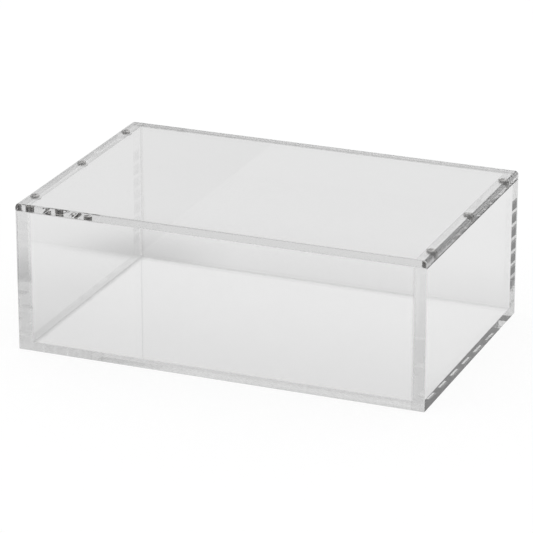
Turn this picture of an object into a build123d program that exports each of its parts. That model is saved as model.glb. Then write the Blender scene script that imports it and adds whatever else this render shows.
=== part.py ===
from build123d import *
import os

# A clear acrylic storage box with a loose lid held by magnets, one solid for every real piece.
# Millimetres. +Z is up, the long sides face -Y (front) and +Y (back),
# and the origin is the middle of the underside.
os.makedirs("parts", exist_ok=True)

# Outside sizes
box_width = 280.0
box_depth = 182.0
body_height = 95.5

# Film of air that stays between the two polished faces where the lid rests on the walls
lid_seat_gap = 0.05

# Sheet the pieces are cut from: the lid, the base, the front and the back share one sheet,
# and the side walls are thicker, since they hold the magnets
sheet_thickness = 5.0
side_thickness = 9.0

# Finish of the outside edges: the lid's two short top edges are rounded over,
# and the others that a hand can reach are lightly broken
lid_end_radius = 2.5
edge_break = 0.4

# Magnets: three along each side, the outer two the same distance from the front and the back,
# with a tall disc in the lid and a thin one of the same diameter in the wall below
magnet_diameter = 6.0
lid_magnet_length = 4.0
wall_magnet_length = 1.0
magnet_end_distance = 20.0
magnet_edge_break = 0.2
pocket_clearance = 0.05
magnet_recess = 0.1

# Sizes that follow from the ones above
inner_width = box_width - side_thickness - side_thickness
inner_depth = box_depth - sheet_thickness - sheet_thickness
side_center_x = (box_width - side_thickness) / 2
panel_center_y = (box_depth - sheet_thickness) / 2
magnet_reach = box_depth / 2 - magnet_end_distance
pocket_radius = magnet_diameter / 2 + pocket_clearance
lid_pocket_depth = lid_magnet_length + magnet_recess
wall_pocket_depth = wall_magnet_length + magnet_recess
lid_bottom = body_height + lid_seat_gap
wall_magnet_bottom = body_height - wall_pocket_depth
lid_magnet_bottom = lid_bottom + magnet_recess

side_centers = {"left": -side_center_x, "right": side_center_x}
panel_centers = {"front": -panel_center_y, "back": panel_center_y}
magnet_rows = {"front": -magnet_reach, "middle": 0, "back": magnet_reach}


def save(piece, name):
    """Give the finished piece its name and write it to its own file."""
    piece.label = name
    export_step(piece, f"parts/{name}.step")


def outermost(shapes, axis, center):
    """The shapes farthest out along the axis, on the side of the box where the center lies."""
    groups = shapes.group_by(axis)
    return groups[-1] if center > 0 else groups[0]


# Side walls: the full depth of the box, with pockets for the magnets in the top edge
def side_wall(center_x):
    """One side wall, all its arrises broken but those at the joints and underneath."""
    with BuildPart() as wall:
        with BuildSketch():
            with Locations((center_x, 0)):
                Rectangle(side_thickness, box_depth)
        extrude(amount=body_height)
        chamfer(outermost(edges().filter_by(Axis.Z), Axis.X, center_x), edge_break)
        rim = faces().sort_by(Axis.Z)[-1].edges()
        inside_edge = outermost(rim, Axis.X, -center_x)
        chamfer([edge for edge in rim if edge not in inside_edge], edge_break)
        with BuildSketch(Plane.XY.offset(body_height)):
            with Locations([(center_x, row_y) for row_y in magnet_rows.values()]):
                Circle(pocket_radius)
        extrude(amount=-wall_pocket_depth, mode=Mode.SUBTRACT)
    return wall.part


for side, center_x in side_centers.items():
    save(side_wall(center_x), f"{side}_wall")


# Front and back panels: they stand between the side walls, flush with their ends
def long_panel(center_y):
    """A panel between the side walls, the outside top edge broken."""
    with BuildPart() as panel:
        with BuildSketch():
            with Locations((0, center_y)):
                Rectangle(inner_width, sheet_thickness)
        extrude(amount=body_height)
        top_edges = faces().sort_by(Axis.Z)[-1].edges()
        chamfer(outermost(top_edges, Axis.Y, center_y), edge_break)
    return panel.part


for panel_side, center_y in panel_centers.items():
    save(long_panel(center_y), f"{panel_side}_panel")

# Base: it fills the space between the four upright panels, flush with their lower edges
with BuildPart() as base:
    with BuildSketch():
        Rectangle(inner_width, inner_depth)
    extrude(amount=sheet_thickness)

save(base.part, "base")

# Lid: one flat plate over the whole footprint, drawn from the front with its two top corners
# rounded, with blind pockets from below
with BuildPart() as lid:
    with BuildSketch(Plane.XZ):
        with Locations((0, lid_bottom + sheet_thickness / 2)):
            Rectangle(box_width, sheet_thickness)
        fillet(vertices().group_by(Axis.Y)[-1], lid_end_radius)
    extrude(amount=box_depth / 2, both=True)
    long_rims = faces().sort_by(Axis.Y)[0].edges() + faces().sort_by(Axis.Y)[-1].edges()
    short_bottom_edges = edges().filter_by(Axis.Y).group_by(Axis.Z)[0]
    chamfer(long_rims + short_bottom_edges, edge_break)
    with BuildSketch(Plane.XY.offset(lid_bottom)):
        with Locations([(x, y) for x in side_centers.values() for y in magnet_rows.values()]):
            Circle(pocket_radius)
    extrude(amount=lid_pocket_depth, mode=Mode.SUBTRACT)

save(lid.part, "lid")


# Magnets: a disc in each pocket, bonded against the pocket's floor just below the surface
def magnet(center_x, center_y, bottom_z, length):
    """A disc magnet of the given length standing on bottom_z."""
    with BuildPart() as disc:
        with BuildSketch(Plane.XY.offset(bottom_z)):
            with Locations((center_x, center_y)):
                Circle(magnet_diameter / 2)
        extrude(amount=length)
        chamfer(edges().filter_by(GeomType.CIRCLE), magnet_edge_break)
    return disc.part


for side, center_x in side_centers.items():
    for row, row_y in magnet_rows.items():
        wall_disc = magnet(center_x, row_y, wall_magnet_bottom, wall_magnet_length)
        lid_disc = magnet(center_x, row_y, lid_magnet_bottom, lid_magnet_length)
        save(wall_disc, f"wall_magnet_{side}_{row}")
        save(lid_disc, f"lid_magnet_{side}_{row}")
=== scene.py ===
# %% [markdown]
# This lesson dresses a clear acrylic storage box: a welded tray, a loose lid over it and twelve
# small disc magnets that hold the lid. The panels are already modelled at their real size, so
# this file gives them their finish, builds a small studio round them and sets up the camera.
# Clear plastic has no colour of its own. All that it shows is what it bends and mirrors, so the
# surroundings matter here as much as the material does.

# %% Load the frame
from math import cos, radians, sin

import bpy
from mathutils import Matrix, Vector


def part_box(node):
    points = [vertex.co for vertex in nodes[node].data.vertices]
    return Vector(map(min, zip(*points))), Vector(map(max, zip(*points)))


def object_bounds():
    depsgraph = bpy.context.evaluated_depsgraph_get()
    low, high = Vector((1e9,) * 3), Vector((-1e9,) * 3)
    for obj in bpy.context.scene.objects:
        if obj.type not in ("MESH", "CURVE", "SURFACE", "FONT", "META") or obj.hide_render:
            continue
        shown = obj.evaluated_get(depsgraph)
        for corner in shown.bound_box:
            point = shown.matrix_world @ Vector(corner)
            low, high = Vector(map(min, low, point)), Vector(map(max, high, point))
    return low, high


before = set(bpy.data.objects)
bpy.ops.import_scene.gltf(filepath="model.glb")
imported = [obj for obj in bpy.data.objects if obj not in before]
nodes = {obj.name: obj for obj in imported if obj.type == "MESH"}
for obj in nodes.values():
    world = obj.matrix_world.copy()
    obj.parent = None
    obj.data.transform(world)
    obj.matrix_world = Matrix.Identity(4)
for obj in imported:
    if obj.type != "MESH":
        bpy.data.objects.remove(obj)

cad_low, cad_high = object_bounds()
scene = bpy.context.scene
print("nodes:", len(nodes), "size in metres:", [round(value, 4) for value in cad_high - cad_low])

# %% [markdown]
# The photograph was taken from above and a little to the right, with a long lens, so that the
# box's edges stay almost parallel. A long lens far away is a different picture from a short one
# close by, even when the box fills the frame alike: the far edges shrink less. The camera is
# placed by its angles and its distance from a point in the middle of the box, because these are
# the numbers that a photographer would give.

# %% Camera
camera_turn = radians(22.055)
camera_rise = radians(20.743)
camera_distance = 2.1069
aim_point = Vector((-0.00225, -0.00121, 0.04526))
lens_length = 216.674
sensor_width = 36.0

toward_camera = Vector((sin(camera_turn) * cos(camera_rise),
                        -cos(camera_turn) * cos(camera_rise),
                        sin(camera_rise)))
bpy.ops.object.select_all(action="DESELECT")
bpy.ops.object.camera_add(location=aim_point + toward_camera * camera_distance)
camera = bpy.context.object
camera.name = "camera"
camera.rotation_euler = (-toward_camera).to_track_quat("-Z", "Y").to_euler()
camera.data.lens = lens_length
camera.data.sensor_width = sensor_width
scene.camera = camera
print("camera at", [round(value, 3) for value in camera.location])

# %% [markdown]
# Light that enters the edge of a panel is trapped in it and bounces from face to face until it
# reaches the far end. Each of these bounces counts as a glossy one, and a ray that has used up
# its bounces turns black. The usual limit of a dozen would leave the edges black, so the limits
# are raised to what the longest way through the base needs.

# %% Light paths and colour
trapped_bounces = 96
scene.cycles.max_bounces = trapped_bounces
scene.cycles.glossy_bounces = trapped_bounces
scene.cycles.transmission_bounces = trapped_bounces
scene.cycles.transparent_max_bounces = trapped_bounces
scene.view_settings.view_transform = "Standard"

# %% [markdown]
# The helpers below keep the node trees short to write. A material is made of nodes and links
# between their sockets, and these do what an artist does with the mouse: add a node, type values
# into its sockets, and draw the links.


# %% Helpers for node trees
def add_node(tree, kind, inputs=None, **settings):
    """Add a node, set its options and type constant values into its sockets."""
    node = tree.nodes.new(kind)
    for name, value in settings.items():
        setattr(node, name, value)
    for name, value in (inputs or {}).items():
        node.inputs[name].default_value = value
    return node


def maths(tree, operation, first, second=None, third=None):
    """A Math node whose inputs are numbers or sockets; gives back its output."""
    node = add_node(tree, "ShaderNodeMath", operation=operation)
    for index, value in enumerate((first, second, third)):
        if isinstance(value, bpy.types.NodeSocket):
            tree.links.new(value, node.inputs[index])
        elif value is not None:
            node.inputs[index].default_value = value
    return node.outputs[0]


def spread(tree, value, start, end, low, high):
    """Low where the value is at the start, high where it is at the end, and smooth between."""
    node = add_node(tree, "ShaderNodeMapRange", {"From Min": start, "From Max": end,
                                                "To Min": low, "To Max": high},
                    interpolation_type="SMOOTHSTEP")
    tree.links.new(value, node.inputs["Value"])
    return node.outputs["Result"]


def blend(tree, factor, first, second):
    """A Mix node between two numbers or sockets; gives back its output."""
    node = add_node(tree, "ShaderNodeMix")
    tree.links.new(factor, node.inputs["Factor"])
    for name, value in (("A", first), ("B", second)):
        if isinstance(value, bpy.types.NodeSocket):
            tree.links.new(value, node.inputs[name])
        else:
            node.inputs[name].default_value = value
    return node.outputs["Result"]


def mix_shaders(tree, factor, first, second):
    """A Mix Shader node between two shader nodes."""
    node = add_node(tree, "ShaderNodeMixShader")
    tree.links.new(factor, node.inputs[0])
    tree.links.new(first.outputs[0], node.inputs[1])
    tree.links.new(second.outputs[0], node.inputs[2])
    return node


def split(tree, vector):
    """The X, Y and Z of a vector socket."""
    node = add_node(tree, "ShaderNodeSeparateXYZ")
    tree.links.new(vector, node.inputs[0])
    return node.outputs["X"], node.outputs["Y"], node.outputs["Z"]


def new_material(name):
    """An empty material, its tree and its output node."""
    material = bpy.data.materials.new(name)
    material.use_nodes = True
    tree = material.node_tree
    tree.nodes.clear()
    return material, tree, add_node(tree, "ShaderNodeOutputMaterial")


# %% [markdown]
# A mask is a socket that is one where something holds and nothing elsewhere. Math nodes make
# masks by comparing, and join them: multiplied, they hold where both do, and the larger of two
# holds where either does. The slack is there because a place is never met to the last digit.

# %% Helpers for masks
face_slack = 0.00002


def below(tree, value, limit):
    """One where the value is under the limit."""
    return maths(tree, "LESS_THAN", value, limit)


def above(tree, value, limit):
    """One where the value is over the limit."""
    return maths(tree, "GREATER_THAN", value, limit)


def near(tree, value, place, slack=face_slack):
    """One where the value is at the place."""
    return maths(tree, "COMPARE", value, place, slack)


def opposite(tree, mask):
    """One where the mask is nothing."""
    return maths(tree, "SUBTRACT", 1.0, mask)


def either(tree, *masks):
    """One where any of the masks is one."""
    result = masks[0]
    for mask in masks[1:]:
        result = maths(tree, "MAXIMUM", result, mask)
    return result


def both(tree, *masks):
    """One where all the masks are one."""
    result = masks[0]
    for mask in masks[1:]:
        result = maths(tree, "MULTIPLY", result, mask)
    return result


def distance(tree, across, along):
    """The distance to a point from how far off it is in two directions."""
    across_squared = maths(tree, "MULTIPLY", across, across)
    along_squared = maths(tree, "MULTIPLY", along, along)
    return maths(tree, "SQRT", maths(tree, "ADD", across_squared, along_squared))


# %% [markdown]
# The studio round the box: a light backdrop behind it, a soft light above, and darkness on the
# photographer's side, which gives the edges their grey and black lines. The world holds all of
# it as one smooth gradient by direction, and metal and glass see that gradient. The camera
# itself sees pure white, and matt surfaces are lit by one plain even level. Lamps would do as
# well, but clear plastic mirrors each of them as a small bright patch, which the photograph
# doesn't show.

# %% Studio
front_level = 0.12
back_level = 0.87
top_level = 0.87
plain_level = 0.80
seen_level = 1.0
# How far the directions lean to the back and upwards where the gradient starts and ends
dark_side = -0.75
light_side = 0.25
top_start = 0.45
top_full = 0.85


def build_studio():
    """A world that is light behind and above, darker in front, and white to the camera."""
    world = bpy.data.worlds.new("studio")
    scene.world = world
    world.use_nodes = True
    tree = world.node_tree
    tree.nodes.clear()
    output = add_node(tree, "ShaderNodeOutputWorld")
    _, y, z = split(tree, add_node(tree, "ShaderNodeTexCoord").outputs["Generated"])
    round_about = spread(tree, y, dark_side, light_side, front_level, back_level)
    level = blend(tree, spread(tree, z, top_start, top_full, 0.0, 1.0), round_about, top_level)
    path = add_node(tree, "ShaderNodeLightPath")
    seen = add_node(tree, "ShaderNodeBackground")
    tree.links.new(blend(tree, path.outputs["Is Camera Ray"], level, seen_level), seen.inputs["Strength"])
    plain = add_node(tree, "ShaderNodeBackground", {"Strength": plain_level})
    shows = either(tree, path.outputs["Is Glossy Ray"], path.outputs["Is Transmission Ray"],
                   path.outputs["Is Camera Ray"])
    tree.links.new(mix_shaders(tree, shows, plain, seen).outputs[0], output.inputs["Surface"])


build_studio()
print("studio levels, front, back and top:", front_level, back_level, top_level)

# %% [markdown]
# The floor is a wide white table. It is mostly lit by its own glow and only partly by the
# studio: the glow keeps it clean and white, and the lit part still takes the box's soft shadow.
# The box passes light on to the floor under it and takes some away round it, and that light and
# shade are painted into the glow: a painted pool of light under the box, brighter towards its
# back, and painted shade that dims it towards the front, behind and in front of the box, along
# its left side, at its back left corner and under its left wall, as the photograph shows it
# through the panels. The floor lies a hair below the box, as the air under a rigid base does.
# The camera itself sees one even glow.

# %% Floor levels
floor_size = 8.0
floor_drop = 0.0002
floor_paint = 0.20
glow_seen = 0.88
# In the open, and how much painted shade dims it level with the box's front
glow_open = 0.70
front_painted_shade = 0.09
# Under the box: a painted pool of light, brighter towards the back, and painted shade under the left wall
painted_glow_under_front = 0.70
painted_glow_under_back = 0.83
under_spread = 0.115
under_edge = 0.008
foot_painted_shade = 0.26
foot_start = 0.012
foot_full = 0.006
# Painted shade round the box: how much dimmer, and how far that reaches
end_painted_shade = 0.07
end_painted_shade_reach = 0.11
end_edge = 0.01
corner_painted_shade = 0.17
corner_painted_shade_reach = 0.08
left_painted_shade = 0.10
left_painted_shade_reach = 0.24
left_painted_shade_kept = 0.3


# %% Floor
def painted_shade_round_box(tree, x, y, past_side, past_front):
    """How much painted shade dims the floor round the box against the open floor."""
    side_gap = maths(tree, "MAXIMUM", past_side, 0.0)
    front_gap = maths(tree, "MAXIMUM", past_front, 0.0)
    from_box = distance(tree, side_gap, front_gap)
    from_corner = distance(tree, maths(tree, "SUBTRACT", x, cad_low.x), past_front)
    past_end = spread(tree, past_front, -end_edge, end_edge, 0.0, 1.0)
    end = spread(tree, from_box, 0.0, end_painted_shade_reach, end_painted_shade, 0.0)
    corner = spread(tree, from_corner, 0.0, corner_painted_shade_reach, corner_painted_shade, 0.0)
    back_corner = both(tree, corner, above(tree, y, 0.0))
    at_ends = both(tree, past_end, maths(tree, "ADD", end, back_corner))
    past_left = maths(tree, "SUBTRACT", cad_low.x, x)
    side = spread(tree, past_left, 0.0, left_painted_shade_reach, left_painted_shade, 0.0)
    along_side = spread(tree, y, 0.0, cad_high.y, 1.0, left_painted_shade_kept)
    return maths(tree, "ADD", at_ends, both(tree, above(tree, past_left, 0.0), side, along_side))


def painted_floor_glow(tree):
    """The floor's own glow from place to place, with painted light and shade in it."""
    x, y, _ = split(tree, add_node(tree, "ShaderNodeTexCoord").outputs["Object"])
    past_side = maths(tree, "SUBTRACT", maths(tree, "ABSOLUTE", x), cad_high.x)
    past_front = maths(tree, "SUBTRACT", maths(tree, "ABSOLUTE", y), cad_high.y)
    # Painted shade: the open floor dims towards the front and round the box
    open_floor = spread(tree, y, cad_low.y, 0.0, glow_open - front_painted_shade, glow_open)
    outside = maths(tree, "SUBTRACT", open_floor, painted_shade_round_box(tree, x, y, past_side, past_front))
    # A painted pool of light under the box, brighter towards its back
    under = spread(tree, y, -under_spread, under_spread, painted_glow_under_front, painted_glow_under_back)
    # Painted shade under the left wall
    painted_shade_under_wall = spread(tree, x, cad_low.x + foot_full, cad_low.x + foot_start, foot_painted_shade, 0.0)
    edge = maths(tree, "MAXIMUM", past_side, past_front)
    is_under = spread(tree, edge, -under_edge, 0.0, 1.0, 0.0)
    return blend(tree, is_under, outside, maths(tree, "SUBTRACT", under, painted_shade_under_wall))


def build_floor():
    """A wide plane that glows, too evenly to be worth sampling as a lamp, and is painted white; its glow
    holds painted light and shade.
    """
    bpy.ops.object.select_all(action="DESELECT")
    bpy.ops.mesh.primitive_plane_add(size=floor_size, location=(0, 0, -floor_drop))
    floor = bpy.context.object
    floor.name = "floor"
    material, tree, output = new_material("white_table")
    path = add_node(tree, "ShaderNodeLightPath")
    glow = add_node(tree, "ShaderNodeEmission")
    level = blend(tree, path.outputs["Is Camera Ray"], painted_floor_glow(tree), glow_seen)
    tree.links.new(level, glow.inputs["Strength"])
    paint = add_node(tree, "ShaderNodeBsdfDiffuse",
                     {"Color": (floor_paint, floor_paint, floor_paint, 1.0)})
    total = add_node(tree, "ShaderNodeAddShader")
    tree.links.new(glow.outputs[0], total.inputs[0])
    tree.links.new(paint.outputs[0], total.inputs[1])
    tree.links.new(total.outputs[0], output.inputs["Surface"])
    material.cycles.emission_sampling = "NONE"
    floor.data.materials.append(material)


build_floor()
print("floor", floor_size, "metres wide,", floor_drop, "below the box")

# %% [markdown]
# The faces of the panels aren't all alike. Solvent has melted some of them together, and light
# passes such a joint almost as if it weren't there. Others are sawn and polished edges of the
# sheet, and the arrises between them are scraped with a blade. All these places are known from
# the pieces' own boxes, so the material can find them by position and by the way a face points,
# with no part of it cut out by hand.

# %% Where the joints, cut faces and pockets lie
_, left_wall_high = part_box("left_wall")
right_wall_low, right_wall_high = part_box("right_wall")
_, front_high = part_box("front_panel")
_, base_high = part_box("base")
lid_low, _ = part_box("lid")
lid_magnet_low, lid_magnet_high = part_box("lid_magnet_right_back")
wall_magnet_low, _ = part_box("wall_magnet_right_back")
glue_gap = 0.0002
joint_x = right_wall_low.x
joint_y = -front_high.y
joint_z = base_high.z
side_center = (right_wall_low.x + right_wall_high.x) / 2
magnet_row = (lid_magnet_low.y + lid_magnet_high.y) / 2
magnet_radius = (lid_magnet_high.x - lid_magnet_low.x) / 2
pocket_reach = magnet_radius + glue_gap
print("joint planes:", [round(value, 4) for value in (joint_x, joint_y, joint_z)])
print("magnet row:", round(magnet_row, 4))

# %% A face's place and direction
# How far a normal leans along an axis: one is square on, nothing is across
square_on = 0.95
steep = 0.5


class Surface:
    """The place and the direction of a face, as sockets that the masks share."""

    def __init__(self, tree):
        self.point = add_node(tree, "ShaderNodeTexCoord").outputs["Object"]
        x, self.y, self.z = split(tree, self.point)
        self.side = maths(tree, "ABSOLUTE", x)
        self.length = maths(tree, "ABSOLUTE", self.y)
        geometry = add_node(tree, "ShaderNodeNewGeometry")
        leans = [maths(tree, "ABSOLUTE", part) for part in split(tree, geometry.outputs["True Normal"])]
        self.faces_x, self.faces_y, self.faces_z = [above(tree, lean, square_on) for lean in leans]
        _, self.lean_y, lean_z = leans
        self.is_upright = below(tree, lean_z, steep)


def from_disc(tree, surface):
    """How far a point lies from the nearest magnet's middle, across the wall and along it."""
    across = maths(tree, "SUBTRACT", surface.side, side_center)
    along = maths(tree, "WRAP", surface.y, magnet_row / 2, -magnet_row / 2)
    return across, along


# %% [markdown]
# Each of the functions below gives one mask. Nothing in them depends on where the camera
# stands, so the masks hold from every side.

# %% Masks for the joints and the pockets
arris_height = 0.001
across_lid = 0.3
weld_line_half = 0.00022


def welded_faces(tree, surface):
    """The faces that solvent has melted together."""
    in_body = below(tree, surface.z, left_wall_high.z - face_slack)
    low = below(tree, surface.z, joint_z)
    at_end = above(tree, surface.length, joint_y)
    at_wall = both(tree, surface.faces_x, near(tree, surface.side, joint_x), in_body)
    at_base = both(tree, surface.faces_y, near(tree, surface.length, joint_y), low)
    return either(tree, both(tree, at_wall, either(tree, low, at_end)), at_base)


def pocket_faces(tree, surface):
    """The pockets' sides and floors, which the glue round the magnets wets all over."""
    in_lid = near(tree, surface.z, lid_magnet_high.z)
    in_wall = near(tree, surface.z, wall_magnet_low.z)
    inside = either(tree, surface.is_upright, in_lid, in_wall)
    return both(tree, below(tree, distance(tree, *from_disc(tree, surface)), pocket_reach), inside)


def scraped_arrises(tree, surface):
    """The narrow bevels, but not the rounded and polished ends of the lid's top."""
    flat = either(tree, surface.faces_x, surface.faces_y, surface.faces_z)
    above_arris = above(tree, surface.z, lid_low.z + arris_height)
    rounded = both(tree, above_arris, below(tree, surface.lean_y, across_lid))
    return both(tree, opposite(tree, flat), opposite(tree, rounded))


def weld_lines(tree, surface):
    """The thin line where a joint comes to the surface."""
    by_wall = near(tree, surface.side, joint_x, weld_line_half)
    by_panel = near(tree, surface.length, joint_y, weld_line_half)
    by_base = near(tree, surface.z, joint_z, weld_line_half)
    at_end = above(tree, surface.length, joint_y - weld_line_half)
    in_body = below(tree, surface.z, lid_low.z - face_slack)
    low = below(tree, surface.z, joint_z + weld_line_half)
    level_ends = both(tree, surface.faces_z, either(tree, at_end, low))
    on_ends = both(tree, by_wall, either(tree, surface.faces_y, level_ends))
    level_corner = both(tree, surface.faces_z, low)
    in_corner = both(tree, by_panel, either(tree, surface.faces_x, level_corner))
    on_floor = both(tree, by_base, either(tree, surface.faces_x, surface.faces_y))
    return both(tree, either(tree, on_ends, in_corner, on_floor), in_body)


# %% [markdown]
# Cast acrylic bends light by a factor of 1.49 and takes almost nothing from it. What makes it
# look real is small: the sheet is never quite flat, so straight lines waver a little in it, the
# cut faces keep some of the saw's drag and dim what is seen through them, the scraped arrises
# are matt and grey, and handling leaves a few hairlines. The welds hold a faint uneven cloud.

# %% Fine detail of the sheet
# A noise keeps mostly to the middle of its range
noise_start = 0.3
noise_end = 0.7
ripple_scale = 16.0
ripple_detail = 1.0
ripple_height = 0.00004
hairline_roughness = 0.04
hairline_start = 0.82
hairline_full = 0.88
hairline_stretch = (900.0, 70.0, 70.0)
hairline_turn = (0.5, 0.7, 0.6)


def noise_at(tree, point, scale=1.0, detail=0.0):
    """A noise on the given coordinates."""
    noise = add_node(tree, "ShaderNodeTexNoise", {"Scale": scale, "Detail": detail})
    tree.links.new(point, noise.inputs["Vector"])
    return noise.outputs["Fac"]


def from_noise(tree, noise, low, high):
    """The middle of a noise's range spread over low to high."""
    return spread(tree, noise, noise_start, noise_end, low, high)


def relief(tree, height, depth):
    """A bump of the given depth."""
    bump = add_node(tree, "ShaderNodeBump", {"Strength": 1.0, "Distance": depth})
    tree.links.new(height, bump.inputs["Height"])
    return bump.outputs[0]


def hairlines(tree, surface):
    """Roughness of the few hairlines: the peaks of a noise that is squeezed in one direction."""
    turned = add_node(tree, "ShaderNodeMapping", {"Rotation": hairline_turn, "Scale": hairline_stretch})
    tree.links.new(surface.point, turned.inputs["Vector"])
    hairs = noise_at(tree, turned.outputs[0])
    return spread(tree, hairs, hairline_start, hairline_full, 0.0, hairline_roughness)


def ripple(tree, surface):
    """The sheet's slow waver."""
    return relief(tree, noise_at(tree, surface.point, ripple_scale, ripple_detail), ripple_height)


# %% [markdown]
# The plastic itself is a Principled shader that passes all light, and its base colour dims what
# crosses a face. Where two pieces are welded, a Transparent shader takes its place, so that no
# ray is bent or mirrored at a face that isn't there any more on the real box.

# %% Clear acrylic
acrylic_ior = 1.49
clear_tint = 1.0
drag_scale = 420.0
drag_detail = 1.0
cut_drag = 0.02
arris_roughness = 0.12
weld_line_tint = 0.97
weld_tint = 0.975
weld_cloud = 0.03


def clear_acrylic(name, cut_axes="", cut_tint=clear_tint, arris_tint=clear_tint):
    """Clear acrylic sheet; cut_axes names the ways in which its sawn edges face."""
    material, tree, output = new_material(name)
    surface = Surface(tree)
    drag = noise_at(tree, surface.point, drag_scale, drag_detail)
    tint = clear_tint
    roughness = hairlines(tree, surface)
    if cut_axes:
        underneath = both(tree, surface.faces_z, below(tree, surface.z, joint_z))
        facing = {"X": surface.faces_x, "Y": surface.faces_y, "Z": underneath}
        cut = either(tree, *[facing[axis] for axis in cut_axes])
        dragged = from_noise(tree, drag, cut_tint - cut_drag / 2, cut_tint + cut_drag / 2)
        arrises = scraped_arrises(tree, surface)
        tint = blend(tree, arrises, blend(tree, cut, clear_tint, dragged), arris_tint)
        roughness = maths(tree, "ADD", roughness, blend(tree, arrises, 0.0, arris_roughness))
    tint = blend(tree, weld_lines(tree, surface), tint, weld_line_tint)

    plastic = add_node(tree, "ShaderNodeBsdfPrincipled", {"IOR": acrylic_ior, "Transmission Weight": 1.0})
    tree.links.new(tint, plastic.inputs["Base Color"])
    tree.links.new(roughness, plastic.inputs["Roughness"])
    tree.links.new(ripple(tree, surface), plastic.inputs["Normal"])
    weld = add_node(tree, "ShaderNodeBsdfTransparent")
    cloud = from_noise(tree, drag, weld_tint - weld_cloud / 2, weld_tint + weld_cloud / 2)
    tree.links.new(cloud, weld.inputs["Color"])
    joined = either(tree, welded_faces(tree, surface), pocket_faces(tree, surface))
    tree.links.new(mix_shaders(tree, joined, plastic, weld).outputs[0], output.inputs["Surface"])
    return material


# %% [markdown]
# The sheets differ only in how their edges were finished. The lid's edges are polished best and
# its arrises scraped hardest, the ends of the thick side walls are duller, and the base hides
# all of its edges in the welds. The box's two sides share a finish, and so do front and back.

# %% Dress the panels
sheets = {"lid": {"name": "lid_acrylic", "cut_axes": "XY", "cut_tint": 0.95, "arris_tint": 0.68},
          "left_wall": {"name": "wall_acrylic", "cut_axes": "YZ", "cut_tint": 0.88, "arris_tint": 0.96},
          "front_panel": {"name": "panel_acrylic", "cut_axes": "Z", "cut_tint": 0.94, "arris_tint": 0.80},
          "base": {"name": "base_acrylic"}}
same_sheet = {"right_wall": "left_wall", "back_panel": "front_panel"}
finishes = {node: clear_acrylic(**finish) for node, finish in sheets.items()}
for node in list(sheets) + list(same_sheet):
    nodes[node].data.materials.clear()
    nodes[node].data.materials.append(finishes[same_sheet.get(node, node)])
print("acrylic pieces:", len(sheets) + len(same_sheet))

# %% [markdown]
# The magnets are pressed from powder, ground flat and plated with nickel. Their end faces keep
# the fine rings of the grinding, and the plating is a little uneven. The rings are a wave
# pattern round each disc's own middle, used as a bump. The sides are painted much darker than
# the end faces: a painted shade.

# %% Nickel
# A Mix node's colour sockets share their names with its other sockets, so they go by number
colour_inputs = (6, 7)
colour_output = 2
nickel_dark = (0.76, 0.75, 0.735, 1.0)
nickel_light = (0.90, 0.89, 0.875, 1.0)
# Painted shade on the discs' upright sides
nickel_side_painted_shade = (0.24, 0.235, 0.23, 1.0)
nickel_smooth = 0.07
nickel_dull = 0.13
plating_scale = 700.0
plating_detail = 2.0
ring_scale = 900.0
ring_waver = 0.6
ring_height = 0.000002


def blend_colours(tree, factor, *colours):
    """A Mix node between two colours or sockets; gives back its output."""
    node = add_node(tree, "ShaderNodeMix", data_type="RGBA")
    tree.links.new(factor, node.inputs["Factor"])
    for index, value in zip(colour_inputs, colours):
        if isinstance(value, bpy.types.NodeSocket):
            tree.links.new(value, node.inputs[index])
        else:
            node.inputs[index].default_value = value
    return node.outputs[colour_output]


def nickel_plate():
    """Nickel plating over ground discs."""
    material, tree, output = new_material("nickel_plate")
    surface = Surface(tree)
    across, along = from_disc(tree, surface)
    disc = add_node(tree, "ShaderNodeCombineXYZ")
    tree.links.new(across, disc.inputs["X"])
    tree.links.new(along, disc.inputs["Y"])
    rings = add_node(tree, "ShaderNodeTexWave", {"Scale": ring_scale, "Distortion": ring_waver},
                     wave_type="RINGS", rings_direction="Z")
    tree.links.new(disc.outputs[0], rings.inputs["Vector"])
    plating = noise_at(tree, surface.point, plating_scale, plating_detail)
    face = blend_colours(tree, plating, nickel_dark, nickel_light)
    metal = add_node(tree, "ShaderNodeBsdfPrincipled", {"Metallic": 1.0})
    # The upright sides take the painted shade
    tree.links.new(blend_colours(tree, surface.is_upright, face, nickel_side_painted_shade), metal.inputs["Base Color"])
    tree.links.new(from_noise(tree, plating, nickel_smooth, nickel_dull), metal.inputs["Roughness"])
    tree.links.new(relief(tree, rings.outputs["Fac"], ring_height), metal.inputs["Normal"])
    tree.links.new(metal.outputs[0], output.inputs["Surface"])
    return material


nickel = nickel_plate()
magnets = [name for name in nodes if "magnet" in name]
for name in magnets:
    nodes[name].data.materials.clear()
    nodes[name].data.materials.append(nickel)
print("magnets:", len(magnets))
